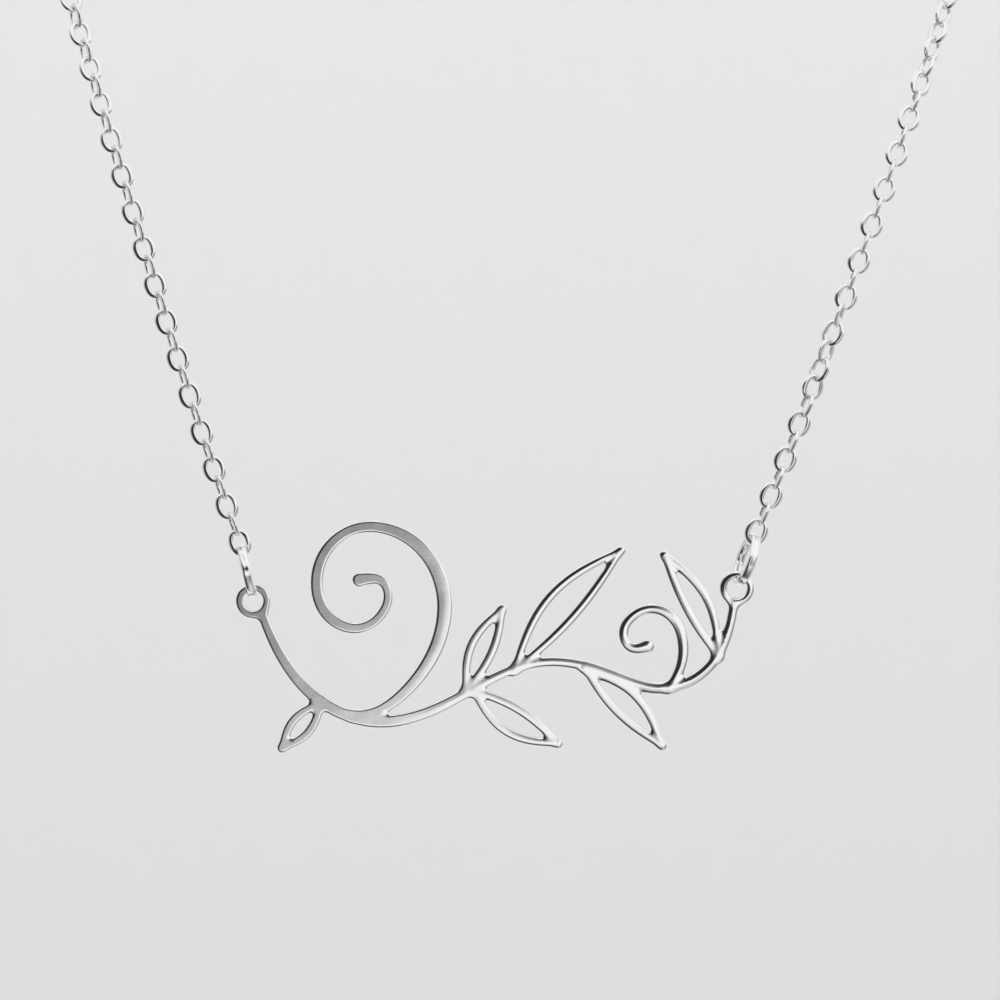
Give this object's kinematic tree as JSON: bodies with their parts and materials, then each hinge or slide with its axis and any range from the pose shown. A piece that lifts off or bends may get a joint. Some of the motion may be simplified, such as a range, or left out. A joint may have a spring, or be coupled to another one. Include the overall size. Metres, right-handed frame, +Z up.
{
  "type": "nameplate necklace",
  "caption": "Fine cable-chain necklace with a flat pierced vine plate hung between two jump rings, closed by a plain ring clasp at the nape.",
  "frame": {"origin": "middle of the clasp, at the nape of the neck, where the chain is held up", "axes": "+Z up, +X to the right of a viewer in front, the plate faces -Y"},
  "size_m": [0.09, 0.0917, 0.1152],
  "materials": {
    "plate_silver": "rhodium-plated silver, polished, edges softened by tumbling",
    "chain_silver": "rhodium-plated silver wire, bright",
    "ring_silver": "rhodium-plated silver wire, bright, with faint drawing marks"
  },
  "bodies": {
    "root": {"nameplate": "plate_silver", "jump_ring_left": "ring_silver", "jump_ring_right": "ring_silver", "chain_left": "chain_silver", "chain_right": "chain_silver", "end_ring": "ring_silver", "clasp": "ring_silver"}
  },
  "joints": []
}
